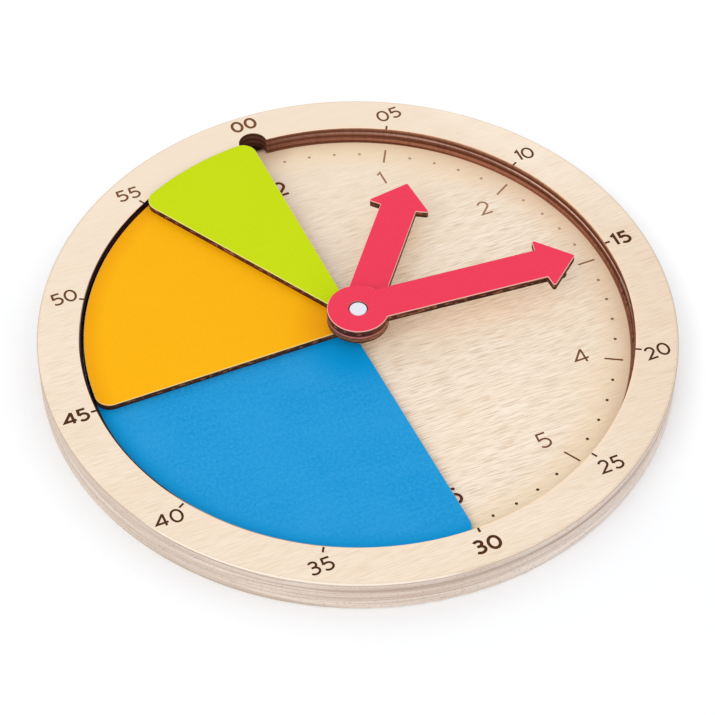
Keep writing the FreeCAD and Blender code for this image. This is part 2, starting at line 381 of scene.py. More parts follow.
def bare_board_finish(name, place, walls, marks, grain_strength=1.0):
    """Bare birch plywood: veneer with its marks on the faces, sanded plies round the rim, and inner walls."""
    material, tree, shader = new_finish(name)
    face, face_relief = veneer(tree, place, grain_strength)
    rim, rim_relief = sanded_edge(tree)
    wall, wall_relief = walls(tree)
    outside = step(tree, distance_from_axis(tree), RIM_FROM, RIM_FROM + 1)
    side = between(tree, outside, wall, rim)
    flat = step(tree, worked_out(tree, "ABSOLUTE", facings(tree)[2]), 0.45, 0.55)
    feed(shader.inputs["Base Color"], between(tree, flat, side, marks(tree, face, wall)))
    side_relief = between_numbers(tree, outside, wall_relief, rim_relief)
    fine_surface(tree, shader, between_numbers(tree, flat, side_relief, face_relief), 0.06)
    uneven_gloss(tree, shader, 0.58, face_relief, 0.2)
    shader.inputs["Specular IOR Level"].default_value = 0.2
    return material


def bored_wall(tree):
    """The browned wall of the holes in the middle."""
    return scorched_wall(tree, 0.0, PLY_LAYER)


def dial_marks(tree, face, wall):
    """The dial is darkened and warmed along the foot of the ring as painted shade, more towards three, and a
    brown line lies there, glue under the ring and partly a painted shadow at its foot. The floor of the
    finger notch is blackened as painted shade, and the laser has left a brown haze beside the notch."""
    right, ahead, _ = place_on_board(tree)
    out = distance_from_axis(tree)
    upper = step(tree, facings(tree)[2], 0.5, 0.6)
    # Painted shade: the dial is darkened and warmed along the foot of the ring, darker towards three.
    foot_shade = between(tree, step(tree, right, 0.05, 0.12), FOOT_SHADE_WARM, FOOT_SHADE_DARK)
    foot_shaded = times(tree, step(tree, out, FOOT_SHADE_FROM, FOOT_SHADE_TO), upper)
    colour = stained(tree, step(tree, ahead, 0.03, 0.09), face, DIAL_TINT)
    colour = coated(tree, colour, foot_shaded, 0.8, foot_shade)
    haze = tree.nodes.new("ShaderNodeVectorMath")
    haze.operation = "DISTANCE"
    feed(haze.inputs[0], tree.nodes.new("ShaderNodeTexCoord").outputs["Object"])
    haze.inputs[1].default_value = NOTCH_FOOT
    hazy = step(tree, haze.outputs["Value"], HAZE_REACH, 4 * MM)
    colour = coated(tree, colour, hazy, 0.45, SMOKE_HAZE)
    # A brown line at the foot of the ring: glue, and partly a painted shadow.
    glue = step(tree, distance_from_axis(tree, GLUE_SHIFT), GLUE_LINE - 0.1, GLUE_LINE + 0.2)
    notch = times(tree, step(tree, right, 0.0075, 0.006), step(tree, ahead, 0.10, 0.11))
    colour = between(tree, times(tree, glue, less(tree, upper, notch)), colour, GLUE_AND_SHADOW_BROWN)
    # Painted shade: the floor of the finger notch is blackened.
    notch_shade = times(tree, step(tree, out, NOTCH_FROM, NOTCH_TO), notch)
    return between(tree, notch_shade, colour, NOTCH_PAINTED_SHADE)


def burnt_line_finish(name, brown, soot, faint, lit_towards):
    """The floor and walls of an engraved line, browned by the laser and darker where it dwelt. Towards the
    back and one side it is lighter, as painted light where its pits catch the lamp."""
    material, tree, shader = new_finish(name)
    fleck = stretched_noise(tree, (900, 2600, 900), (0, 0, 0), 2.0)
    right, ahead, _ = place_on_board(tree)
    burn = between(tree, step(tree, fleck, 0.35, 0.7), brown, soot)
    # Painted light: the line is lighter towards the back and one side.
    away = plus(tree, times(tree, ahead, lit_towards[1]), times(tree, right, lit_towards[0]))
    feed(shader.inputs["Base Color"], coated(tree, burn, step(tree, away, 0.02, 0.12), 0.65, faint))
    fine_surface(tree, shader, fleck, 0.05)
    uneven_gloss(tree, shader, 0.75, fleck, 0.15)
    shader.inputs["Specular IOR Level"].default_value = 0.1
    return material


def bend(x, y, half_width, half_height, start=0, end=360):
    """Points along part of an oval, from one angle to another, in degrees, or all the way round."""
    count = max(4, round(abs(end - start) / BEND_STEP))
    turns = [math.radians(start + (end - start) * i / count) for i in range(count + 1)]
    return [(x + half_width * math.cos(turn), y + half_height * math.sin(turn)) for turn in turns]


# Each figure is drawn as the engraver draws it: its width, and the middle line of its strokes, one unit high.
SIX_WIDTH = 0.70
SIX = [bend(0.34, 0.31, 0.34, 0.31), bend(0.40, 0.42, 0.40, 0.58, 184, 62)]
THREE_TOP = bend(0.31, 0.775, 0.27, 0.225, 150, -90)
THREE_BELLY = bend(0.31, 0.275, 0.34, 0.275, 90, -145)
FIGURES = {
    "0": (0.77, [bend(0.385, 0.5, 0.385, 0.5)]),
    "1": (0.24, [[(0, 0.85), (0.24, 1), (0.24, 0)]]),
    "2": (0.67, [bend(0.31, 0.70, 0.30, 0.30, 158, -46) + [(0, 0), (0.68, 0)]]),
    "3": (0.67, [THREE_TOP, THREE_BELLY, [(0.17, 0.55), (0.33, 0.55)]]),
    "4": (0.84, [[(0.63, 1), (0, 0.27), (0.84, 0.27)], [(0.63, 1.0), (0.63, 0)]]),
    "5": (0.69, [[(0.63, 1), (0.11, 1), (0.07, 0.50)], bend(0.335, 0.305, 0.355, 0.305, 137, -140)]),
    "6": (SIX_WIDTH, SIX),
    "7": (0.64, [[(0, 1), (0.64, 1), (0.20, 0)]]),
    "8": (0.68, [bend(0.34, 0.275, 0.34, 0.275), bend(0.34, 0.775, 0.28, 0.225)]),
    "9": (SIX_WIDTH, [[(SIX_WIDTH - x, 1 - y) for x, y in line] for line in SIX]),
}


def burn_line(laser, line, width, surface):
    """Adds the body that the laser burns away along a line, in millimetres. It starts over the surface."""
    loop = math.dist(line[0], line[-1]) < 1e-6
    points = [Vector(point) for point in (line[:-1] if loop else line)]
    last = len(points) - 1
    rows = []
    for i, point in enumerate(points):
        ahead = points[(i + 1) % len(points)] - point if loop or i < last else point - points[i - 1]
        behind = point - points[i - 1] if loop or i > 0 else ahead
        ahead.normalize()
        behind.normalize()
        across = Vector((-ahead.y - behind.y, ahead.x + behind.x)).normalized()
        reach = width / 2 / max(0.42, across.dot(Vector((-ahead.y, ahead.x))))
        row = []
        for side, height in ((1, BURN_START), (-1, BURN_START), (-1, -BURN_DEPTH), (1, -BURN_DEPTH)):
            spot = (point + across * reach * side) * MM
            row.append(laser.verts.new((spot.x, spot.y, surface + height)))
        rows.append(row)
    for i in range(len(rows) if loop else last):
        first, second = rows[i], rows[(i + 1) % len(rows)]
        for k in range(4):
            laser.faces.new((first[k], first[(k + 1) % 4], second[(k + 1) % 4], second[k]))
    if not loop:
        laser.faces.new(rows[0])
        laser.faces.new(rows[-1][::-1])


def burn_dot(laser, x, y, width, surface):
    """Adds the round pit of one dot."""
    turns = [math.tau * i / MINUTE_DOT_SIDES for i in range(MINUTE_DOT_SIDES)]
    rim = [(x + width / 2 * math.cos(turn), y + width / 2 * math.sin(turn)) for turn in turns]
    low = [laser.verts.new((a * MM, b * MM, surface - BURN_DEPTH)) for a, b in rim]
    high = [laser.verts.new((a * MM, b * MM, surface + BURN_START)) for a, b in rim]
    faces = [laser.faces.new(low[::-1]), laser.faces.new(high)]
    for i in range(MINUTE_DOT_SIDES):
        k = (i + 1) % MINUTE_DOT_SIDES
        faces.append(laser.faces.new((low[i], low[k], high[k], high[i])))
    for face in faces:
        face.material_index = DOT_BURN


def burn_tick(laser, angle, start, end, width, surface, nudge=(0.0, 0.0)):
    """Adds a straight tick that points at the axis. Angles run clockwise from twelve, in degrees."""
    turn = math.radians(angle)
    line = [(r * math.sin(turn) + nudge[0], r * math.cos(turn) + nudge[1]) for r in (start, end)]
    burn_line(laser, line, width, surface)


def burn_number(laser, text, angle, ring, height, line_width, surface,
                nudge=(0.0, 0.0), gap=NUMBER_GAP, wide=1.0):
    """Adds an upright number with its middle on a ring round the axis, nudged right and up from there."""
    turn = math.radians(angle)
    size = height - line_width
    broad = size * wide
    widths = [FIGURES[figure][0] * broad for figure in text]
    spread = sum(widths) + (len(text) - 1) * (gap + line_width)
    left = ring * math.sin(turn) - spread / 2 + nudge[0]
    foot = ring * math.cos(turn) - size / 2 + nudge[1]
    for figure, width in zip(text, widths):
        for line in FIGURES[figure][1]:
            burn_line(laser, [(left + x * broad, foot + y * size) for x, y in line], line_width, surface)
        left += width + gap + line_width


def engraved_board(name, node, laser, finish, burns):
    """The board of a CAD node with the laser's lines cut out of its face."""
    bmesh.ops.recalc_face_normals(laser, faces=laser.faces)
    path = bpy.data.meshes.new(name + "_lines")
    laser.to_mesh(path)
    laser.free()
    for burn in burns:
        path.materials.append(burn)
    tool = bpy.data.objects.new(name + "_lines", path)
    bpy.context.scene.collection.objects.link(tool)
    blank = bmesh.new()
    blank.from_mesh(nodes[node].data)
    bmesh.ops.remove_doubles(blank, verts=blank.verts, dist=0.001 * MM)
    mesh = bpy.data.meshes.new(name)
    blank.to_mesh(mesh)
    blank.free()
    mesh.materials.append(finish)
    board = bpy.data.objects.new(name, mesh)
    bpy.context.scene.collection.objects.link(board)
    cut = board.modifiers.new("engraving", "BOOLEAN")
    cut.operation = "DIFFERENCE"
    cut.solver = "EXACT"
    cut.use_self = True
    cut.material_mode = "TRANSFER"
    cut.object = tool
    bpy.context.view_layer.update()
    result = bpy.data.meshes.new_from_object(board.evaluated_get(bpy.context.evaluated_depsgraph_get()))
    board.modifiers.clear()
    board.data = result
    bpy.data.objects.remove(tool)
    if "custom_normal" in result.attributes:
        result.attributes.remove(result.attributes["custom_normal"])
    result.shade_smooth()
    result.set_sharp_from_angle(angle=math.radians(SHARP_EDGE))
    return board


base_laser = bmesh.new()
for minute in range(60):
    if minute % 5:
        around = math.radians(6 * minute)
        dot_x = MINUTE_DOT_RING * math.sin(around) + DIAL_SHIFT[0]
        dot_y = MINUTE_DOT_RING * math.cos(around) + DIAL_SHIFT[1]
        burn_dot(base_laser, dot_x, dot_y, MINUTE_DOT_WIDTH, BASE_TOP)
for hour in range(1, 13):
    text = str(hour)
    angle = 30 * hour
    burn_tick(base_laser, angle, HOUR_TICK_FROM, HOUR_TICK_TO, HOUR_TICK_WIDTH, BASE_TOP, DIAL_SHIFT)
    if hour in MAIN_HOUR_NUDGE:
        before = len(base_laser.faces)
        burn_number(
            base_laser, text, angle, MAIN_HOUR_RING, MAIN_HOUR_HEIGHT, MAIN_HOUR_LINE, BASE_TOP,
            MAIN_HOUR_NUDGE[hour])
        base_laser.faces.ensure_lookup_table()
        for face in base_laser.faces[before:]:
            face.material_index = MAIN_HOUR_BURN
    else:
        burn_number(base_laser, text, angle, HOUR_RING, HOUR_HEIGHT, HOUR_LINE, BASE_TOP, DIAL_SHIFT)
base_finish = bare_board_finish("birch_base_board", (0.4, 0.9, 0.0), bored_wall, dial_marks)
base_burns = (
    burnt_line_finish(
        "burnt_dial_lines", shade(142, 88, 56), shade(108, 64, 42), shade(190, 146, 112), (0.7, 1.0)),
    burnt_line_finish(
        "burnt_dial_dots", shade(112, 72, 50), shade(84, 50, 34), shade(222, 196, 166), (0.8, 1.0)),
    burnt_line_finish(
        "burnt_main_hours", shade(116, 60, 38), shade(84, 40, 26), shade(118, 62, 42), (0.5, 1.0)),
)
base = engraved_board("engraved_base_board", "base_board", base_laser, base_finish, base_burns)
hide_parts("base_board")
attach(base, "clock_board")


# ---------------------------------------------------------------------------------------------------------
# Dial ring. Three 20 mm wide rings of 3 mm birch plywood, glued on the base board and sanded flush with it
# outside. Inside, each lies a little back from the one below, and the walls and the finger notch keep the
# burn of the laser cut. The upper face carries a tick and a number every five minutes, the quarters heavier.
# ---------------------------------------------------------------------------------------------------------
RING_TOP = 18 * MM
RING_TICK_FROM = 129.9
RING_TICK_TO = 132.9
RING_TICK_WIDTH = 1.0
MAIN_TICK_WIDTH = 1.15
RING_NUMBER_PLACE = 140.2
RING_NUMBER_PLACES = {0: 143.8, 5: 141.2, 15: 138.8, 55: 140.0}
RING_NUMBER_HEIGHT = 7.7
QUARTER_HEIGHTS = {0: 7.8, 15: 8.2, 30: 7.9, 45: 7.9}
RING_LINE = 1.12
QUARTER_LINES = {0: 1.45, 15: 1.5, 30: 1.5, 45: 1.4}
RING_NUMBER_GAPS = {45: -0.1}
RING_NUMBER_WIDTHS = {30: 1.05}
NUDGES = {
    0: (0.5, -0.2), 5: (-0.3, -0.3), 10: (-0.6, -0.3), 15: (-0.35, 0.0), 20: (-0.4, -0.5), 25: (0.3, -0.2),
    30: (0.3, 0.3), 35: (-1.0, -0.2), 40: (-0.9, -1.2), 45: (-0.2, -0.9), 50: (0.5, -0.1), 55: (0.6, 0.2),
}
RECESS_FOOT = 9.15
NOTCH_WALL = 130.4
ARRIS_SCORCH = 130.1
ARRIS_TOAST = 131.6
GREY_LINE = (148.8, 149.3)
OUTER_ARRIS = 149.5
LASER_BURNT = shade(100, 52, 30)
LASER_BROWN = shade(152, 100, 74)
LASER_GLOSSY = shade(188, 122, 92)
WALL_TURNED = shade(168, 114, 92)
WALL_PAINTED_SHADE = shade(74, 36, 20)
WALL_STRIA = shade(92, 44, 28)
WALL_STREAK = shade(70, 36, 22)
NOTCH_CHAR_AND_SHADE = shade(46, 22, 14)
LEFT_WALL_PAINTED_SHADE = shade(44, 12, 6)
WALL_SHADED = shade(184, 156, 140)
SPATTER = shade(40, 24, 17)
RING_TINT = shade(249, 245, 241)
RING_TINT_AT_THREE = shade(250, 247, 245)
ARRIS_TAN = shade(255, 222, 192)
LINE_GREY = shade(196, 172, 150)
ARRIS_BROWN = shade(206, 182, 160)
ARRIS_PAINTED_HIGHLIGHT = shade(247, 235, 219)
SCORCH_AND_SHADOW = shade(34, 46, 62)
SCORCH_AND_SHADOW_AT_NINE = shade(42, 18, 12)
WALL_FOOT = -3.0
WALL_REACH = 12.0
# The pale bands at 4.85 to 5.3 and at 8.7 are partly a painted highlight under the arrises of the layers.
WALL_BANDS = (
    (WALL_FOOT, LASER_BROWN), (-1.0, LASER_BURNT), (0.2, LASER_GLOSSY), (1.3, LASER_GLOSSY),
    (2.2, shade(122, 70, 46)), (2.8, LASER_BURNT), (3.7, shade(134, 84, 62)), (4.5, shade(176, 124, 102)),
    (4.85, shade(248, 212, 196)), (5.3, shade(246, 210, 194)), (5.55, shade(114, 64, 42)),
    (6.5, shade(112, 62, 40)), (7.4, LASER_BROWN), (8.1, shade(204, 146, 114)), (8.7, shade(250, 222, 196)),
)


def ring_wall(tree):
    """The wall that the laser left round the recess. Each of the three layers is pale and glossy under its
    upper arris, the paleness partly a painted highlight, and burnt dark below it. The cut leans, so that the
    bands sink towards three. Beyond three the wall is shaded darker and spattered with soot. Towards nine it
    is darkened as painted shade, where it faces away from the lamp, blackest left of the notch, and the notch
    wall is charred and darkened with painted shade too."""
    height = height_in_board(tree)
    right, ahead, _ = place_on_board(tree)
    turned = step(tree, right, 0.129, 0.0)
    waver = stretched_noise(tree, (50, 50, 160), (1, 5, 2), 2.0)
    over = plus(tree, less(tree, height, RECESS_FOOT), times(tree, waver, 0.3))
    sink = less(tree, 3.6, times(tree, over, 0.30))
    over = less(tree, over, times(tree, sink, turned))
    over = less(tree, over, times(tree, step(tree, ahead, 0.0, -0.034), 0.9))
    striae = stretched_noise(tree, (18, 18, 1700), (5, 1, 7), 1.0)
    streaks = stretched_noise(tree, (420, 420, 60), (7, 3, 1), 3.0, 0.65)
    spits = stretched_noise(tree, (520, 520, 300), (4, 7, 1), 2.0, 0.6)
    colour = banded(tree, over, WALL_FOOT, WALL_REACH, WALL_BANDS)
    colour = stained(tree, turned, colour, WALL_TURNED, "DARKEN")
    # Painted shade: the wall is darker towards nine, where it faces away from the lamp.
    colour = coated(tree, colour, turned, 0.35, WALL_PAINTED_SHADE)
    colour = coated(tree, colour, step(tree, striae, 0.5, 0.62), 0.4, WALL_STRIA)
    colour = coated(tree, colour, step(tree, streaks, 0.45, 0.75), 0.35, WALL_STREAK)
    # The notch wall is charred, and darkened further as painted shade.
    in_notch = step(tree, distance_from_axis(tree), NOTCH_WALL, NOTCH_WALL + 1.6)
    colour = coated(tree, colour, in_notch, 0.45, NOTCH_CHAR_AND_SHADE)
    # Painted shade: the wall is blackest left of the notch.
    colour = coated(tree, colour, step(tree, right, 0.002, -0.02), 0.9, LEFT_WALL_PAINTED_SHADE)
    mouth = plus(tree, times(tree, step(tree, height, 12.2, 15.2), 0.85), 0.15)
    darker = times(tree, step(tree, ahead, -0.010, -0.042), mouth)
    colour = stained(tree, darker, colour, WALL_SHADED)
    foot = times(tree, step(tree, height, 15.6, 11.6), step(tree, ahead, 0.02, -0.03))
    spattered = times(tree, foot, step(tree, spits, 0.50, 0.56))
    return coated(tree, colour, spattered, 0.85, SPATTER), streaks


def ring_marks(tree, face, wall):
    """The upper arris is scorched and darkened with a painted shadow where the segments lie, darkest towards
    nine. The outer arris is eased, pale towards eight as a painted highlight where it faces the lamp, and
    brown elsewhere, with a grey line beside it."""
    right, ahead, _ = place_on_board(tree)
    out = distance_from_axis(tree)
    # How far a point lies towards nine and eight, as a share of the arris there, and towards three and two.
    nine = less(tree, times(tree, right, -7.66), times(tree, ahead, 0.67))
    eight = plus(tree, times(tree, right, -5.34), times(tree, ahead, -4.03))
    three = less(tree, right, times(tree, ahead, 0.35))
    two = plus(tree, right, times(tree, ahead, 0.5))
    # Painted highlight: the outer arris is lighter towards eight, where it faces the lamp.
    pale = times(tree, step(tree, eight, 0.64, 0.72), step(tree, right, -0.136, -0.128))
    # The upper arris is scorched and darkened with a painted shadow where the segments meet the ring.
    strong = step(tree, nine, 0.87, 0.94)
    rising = times(tree, step(tree, nine, 0.45, 0.84), 0.25)
    near = plus(tree, times(tree, strong, 0.2), plus(tree, rising, 0.1))
    scorch_and_shadow = step(tree, less(tree, out, near), ARRIS_SCORCH, ARRIS_SCORCH - 0.1)
    scorch_and_shadow = times(tree, scorch_and_shadow, step(tree, nine, 0.40, 0.60))
    scorch_and_shadow = times(tree, scorch_and_shadow, plus(tree, times(tree, strong, 0.35), 0.65))
    tinted = less(tree, 1.0, times(tree, step(tree, two, 0.142, 0.154), 0.65))
    colour = stained(tree, tinted, face, RING_TINT)
    colour = stained(tree, step(tree, three, 0.105, 0.145), colour, RING_TINT_AT_THREE)
    colour = coated(tree, colour, step(tree, out, ARRIS_TOAST, 130.2), 0.6, ARRIS_TAN)
    inner, outer = GREY_LINE
    line = times(tree, step(tree, out, inner, inner + 0.2), step(tree, out, outer, outer - 0.2))
    line = times(tree, line, step(tree, right, -0.15, -0.10))
    strength = less(tree, 0.4, times(tree, pale, 0.15))
    colour = coated(tree, colour, line, strength, LINE_GREY)
    eased = between(tree, pale, ARRIS_BROWN, ARRIS_PAINTED_HIGHLIGHT)
    colour = between(tree, step(tree, out, OUTER_ARRIS, OUTER_ARRIS + 0.15), colour, eased)
    return between(tree, scorch_and_shadow, colour, between(tree, strong, SCORCH_AND_SHADOW, SCORCH_AND_SHADOW_AT_NINE))


def ledge_marks(tree, face, wall):
    """A layer that shows no more than a ledge of its face has that browned like its wall."""
    return wall


def finish_node(name, material):
    """Gives a CAD node its finish in place of the plain one."""
    mesh = nodes[name].data
    mesh.materials.clear()
    mesh.materials.append(material)


ring_laser = bmesh.new()
for minute in range(0, 60, 5):
    nudge = NUDGES[minute]
    if minute:
        tick_width = RING_TICK_WIDTH if minute % 15 else MAIN_TICK_WIDTH
        burn_tick(ring_laser, 6 * minute, RING_TICK_FROM, RING_TICK_TO, tick_width, RING_TOP, nudge)
    place = RING_NUMBER_PLACES.get(minute, RING_NUMBER_PLACE)
    height = QUARTER_HEIGHTS.get(minute, RING_NUMBER_HEIGHT)
    line = QUARTER_LINES.get(minute, RING_LINE)
    gap = RING_NUMBER_GAPS.get(minute, NUMBER_GAP)
    wide = RING_NUMBER_WIDTHS.get(minute, 1.0)
    burn_number(ring_laser, f"{minute:02d}", 6 * minute, place, height, line, RING_TOP, nudge, gap, wide)
ring_finish = bare_board_finish("birch_dial_ring", (2.3, 4.1, 0.0), ring_wall, ring_marks, 0.42)
ring_burn = burnt_line_finish(
    "burnt_ring_lines", shade(98, 54, 32), shade(66, 36, 20), shade(144, 96, 58), (-0.1, 1.0))
ring = engraved_board("engraved_upper_ring", "ring_layer_upper", ring_laser, ring_finish, (ring_burn,))
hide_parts("ring_layer_upper")
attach(ring, "clock_board")

lower_finish = bare_board_finish("birch_lower_rings", (4.5, 1.3, 0.0), ring_wall, ledge_marks)
finish_node("ring_layer_middle", lower_finish)
finish_node("ring_layer_lower", lower_finish)


# ---------------------------------------------------------------------------------------------------------
# Time segments. Three loose slices of 3.6 mm birch plywood, painted on their upper faces and then laser
# cut, so that their walls are scorched plies under the edge of the paint. Half an hour is blue, a quarter
# is orange and five minutes are green.
# ---------------------------------------------------------------------------------------------------------
BLUE = {
    "full": shade(12, 147, 213),
    "thin": shade(54, 164, 223),
    "worn": shade(150, 190, 214),
    "painted_shade": shade(0, 151, 218),
}
ORANGE = {
    "full": shade(251, 178, 0),
    "thin": shade(254, 185, 14),
    "worn": shade(252, 222, 140),
    "painted_shade": shade(246, 168, 4),
}
GREEN = {"full": shade(197, 220, 0), "thin": shade(204, 225, 18), "worn": shade(238, 232, 140)}
SEGMENT_CORE = shade(102, 58, 40)
SEGMENT_FACE_PLIES = shade(150, 98, 74)
# The blue segment's rim is scorched and darkened, partly as a painted shadow where it meets the ring.
BLUE_RIM_SCORCH_AND_SHADOW = (128.05, 130.0, shade(34, 12, 8))
SHADE_BY_THE_HUB = (34.0, 21.0)
SHADE_BY_THE_RING = (119.0, 126.0)
WALL_FOOT_PAINTED_SHADOW = shade(48, 26, 20)
SHADED_BEVEL = shade(60, 20, 14)


def heights_of(node):
    """The bottom and the thickness of a CAD node, in millimetres."""
    levels = [vertex.co.z / MM for vertex in nodes[node].data.vertices]
    return min(levels), max(levels) - min(levels)


def painted_board_finish(name, node, colours, place, core, face_plies, scorched=None):
    """Satin paint on the face of a plywood piece, over faint grain. The paint is thin on its eased edge,
    which is darkened as painted shade where it faces the back. Its walls are burnt by the laser, pale under
    the paint and blackest along the foot as a painted contact shadow, and its back is bare. Between two
    radii, where they are given, the paint is scorched too, on the blue segment also as a painted shadow
    against the ring. A painted shade, where one is given, lies beside the hub and the ring."""
    material, tree, shader = new_finish(name)
    full, thin, worn = colours["full"], colours["thin"], colours["worn"]
    bottom, thickness = heights_of(node)
    grain = stretched_noise(tree, (30, 520, 0), place, 3.0, 0.6)
    clouds = stretched_noise(tree, (24, 24, 0), place, 2.0)
    roller = stretched_noise(tree, (700, 700, 0), place, 3.0, 0.7)
    paint = coated(tree, full, step(tree, grain, 0.40, 0.72), 0.25, thin)
    paint = coated(tree, paint, step(tree, roller, 0.42, 0.62), 0.6, thin)
    paint = coated(tree, paint, step(tree, clouds, 0.40, 0.70), 0.3, thin)
    wall, streaks = scorched_wall(tree, bottom, thickness, core, face_plies)
    height = height_in_board(tree)
    # Painted contact shadow: the wall is blackest along its foot.
    foot = step(tree, height, bottom + 0.32 * thickness, bottom + 0.22 * thickness)
    wall = coated(tree, wall, foot, 0.85, WALL_FOOT_PAINTED_SHADOW)
    lip = step(tree, height, bottom + 0.86 * thickness, bottom + 0.93 * thickness)
    wall = coated(tree, wall, lip, 0.6, worn)
    bare, _ = veneer(tree, place)
    _, ahead, up = facings(tree)
    out = distance_from_axis(tree)
    # Painted shade beside the hub and the ring.
    if "painted_shade" in colours:
        by_the_hub = step(tree, out, *SHADE_BY_THE_HUB)
        by_the_ring = step(tree, out, *SHADE_BY_THE_RING)
        painted_shade_zone = worked_out(tree, "MAXIMUM", by_the_hub, by_the_ring)
        paint = coated(tree, paint, painted_shade_zone, 0.95, colours["painted_shade"])
    bevel = worn
    # The scorched band. On the blue segment it is also a painted shadow along the ring.
    if scorched:
        start, end, black = scorched
        band = times(tree, step(tree, out, start, start + 0.3), step(tree, out, end + 0.3, end))
        paint = between(tree, band, paint, black)
        bevel = between(tree, band, worn, black)
    dull = between(tree, 0.45, full, SHADED_BEVEL)
    eased = between(tree, step(tree, ahead, 0.5, 0.6), bevel, dull)
    edge = between(tree, step(tree, up, 0.85, 0.9), eased, paint)
    back = between(tree, step(tree, up, -0.5, -0.45), bare, wall)
    flat = step(tree, up, 0.45, 0.5)
    feed(shader.inputs["Base Color"], between(tree, flat, back, edge))
    relief = plus(tree, times(tree, grain, 0.4), times(tree, roller, 0.2))
    fine_surface(tree, shader, between_numbers(tree, flat, streaks, relief), 0.03)
    uneven_gloss(tree, shader, 0.45, clouds, 0.16)
    shader.inputs["Specular IOR Level"].default_value = 0.08
    return material


SEGMENTS = (
    ("segment_half_hour", "blue", BLUE, (5, 2, 0), BLUE_RIM_SCORCH_AND_SHADOW),
    ("segment_quarter_hour", "orange", ORANGE, (8, 3, 0), None),
    ("segment_five_minutes", "green", GREEN, (1, 7, 0), None),
)
for node, colour_name, colours, grain_place, scorched in SEGMENTS:
    segment_finish = painted_board_finish(
        colour_name + "_segment_paint", node, colours, grain_place,
        SEGMENT_CORE, SEGMENT_FACE_PLIES, scorched)
    finish_node(node, segment_finish)


# ---------------------------------------------------------------------------------------------------------
# Hub spacer and washers. A short turned birch bush stands on the dial and lifts the hands over the ring.
# A thin punched nylon washer lies under each hand, so that one hand does not drag the other along.
# ---------------------------------------------------------------------------------------------------------
BUSH_BIRCH = shade(214, 182, 142)
BUSH_FIBRE = shade(186, 148, 106)
NYLON = shade(226, 224, 214)
NYLON_CLOUD = shade(206, 204, 194)


def turned_dowel_finish():
    """Birch turned on a lathe: fine rings round the bush and long fibres along it."""
    material, tree, shader = new_finish("turned_birch_bush")
    fibres = stretched_noise(tree, (900, 900, 60), (0, 0, 0), 3.0)
    rings = stretched_noise(tree, (30, 30, 2600), (4, 0, 0), 1.0)
    colour = between(tree, step(tree, fibres, 0.4, 0.7), BUSH_BIRCH, BUSH_FIBRE)
    feed(shader.inputs["Base Color"], colour)
    fine_surface(tree, shader, plus(tree, times(tree, fibres, 0.5), times(tree, rings, 0.5)), 0.05)
    uneven_gloss(tree, shader, 0.5, fibres, 0.2)
    shader.inputs["Specular IOR Level"].default_value = 0.25
    return material


def nylon_finish():
    """Milky punched nylon with faint drawing marks."""
    material, tree, shader = new_finish("milky_nylon")
    cloud = stretched_noise(tree, (400, 400, 400), (0, 0, 0), 2.0)
    feed(shader.inputs["Base Color"], between(tree, cloud, NYLON, NYLON_CLOUD))
    fine_surface(tree, shader, stretched_noise(tree, (3000, 900, 900), (1, 1, 1), 2.0), 0.01)
    uneven_gloss(tree, shader, 0.38, cloud, 0.12)
    return material


finish_node("hub_spacer", turned_dowel_finish())
finish_node("hand_washers", nylon_finish())


# ---------------------------------------------------------------------------------------------------------
# Hands. Two arrows of 3.9 mm birch plywood, painted red on their upper faces and laser cut like the
# segments. The short one lies under the long one, and both turn on the post.
# ---------------------------------------------------------------------------------------------------------
RED = {"full": shade(238, 58, 88), "thin": shade(242, 66, 94), "worn": shade(248, 190, 178)}
HOUR_HAND_CORE = shade(138, 84, 58)
HOUR_HAND_FACE_PLIES = shade(96, 54, 38)
MINUTE_HAND_CORE = shade(82, 40, 26)
MINUTE_HAND_FACE_PLIES = shade(116, 66, 50)
HOUR_HUB_LIP = (13.7, 14.6, shade(186, 104, 98))

hour_paint = painted_board_finish(
    "red_hour_hand_paint", "hour_hand", RED, (3, 9, 0), HOUR_HAND_CORE, HOUR_HAND_FACE_PLIES, HOUR_HUB_LIP)
minute_paint = painted_board_finish(
    "red_minute_hand_paint", "minute_hand", RED, (6, 4, 0), MINUTE_HAND_CORE, MINUTE_HAND_FACE_PLIES)
finish_node("hour_hand", hour_paint)
finish_node("minute_hand", minute_paint)


# ---------------------------------------------------------------------------------------------------------
# Pivot post. A headed sleeve of white moulded plastic that the hands turn on. Its flat round head sits just
# below the face of the minute hand.
# ---------------------------------------------------------------------------------------------------------
WHITE_PLASTIC = shade(236, 236, 245)
WHITE_SWIRL = shade(226, 227, 238)


def moulded_white_finish():
    """Bright white plastic with the faint swirl and matt skin of a small moulding."""
    material, tree, shader = new_finish("white_moulded_plastic")
    swirl = stretched_noise(tree, (260, 260, 260), (2, 2, 2), 2.0)
    skin = stretched_noise(tree, (3200, 3200, 3200), (0, 0, 0), 2.0)
    feed(shader.inputs["Base Color"], between(tree, swirl, WHITE_PLASTIC, WHITE_SWIRL))
    fine_surface(tree, shader, skin, 0.006)
    uneven_gloss(tree, shader, 0.28, swirl, 0.12)
    return material


finish_node("pivot_post", moulded_white_finish())


# ---------------------------------------------------------------------------------------------------------
# Back washer and screw. A zinc-plated steel washer in the recess of the back, and a slotted screw that is
# driven up into the post.
# ---------------------------------------------------------------------------------------------------------
ZINC = shade(196, 199, 204)
ZINC_SPOT = shade(160, 163, 168)


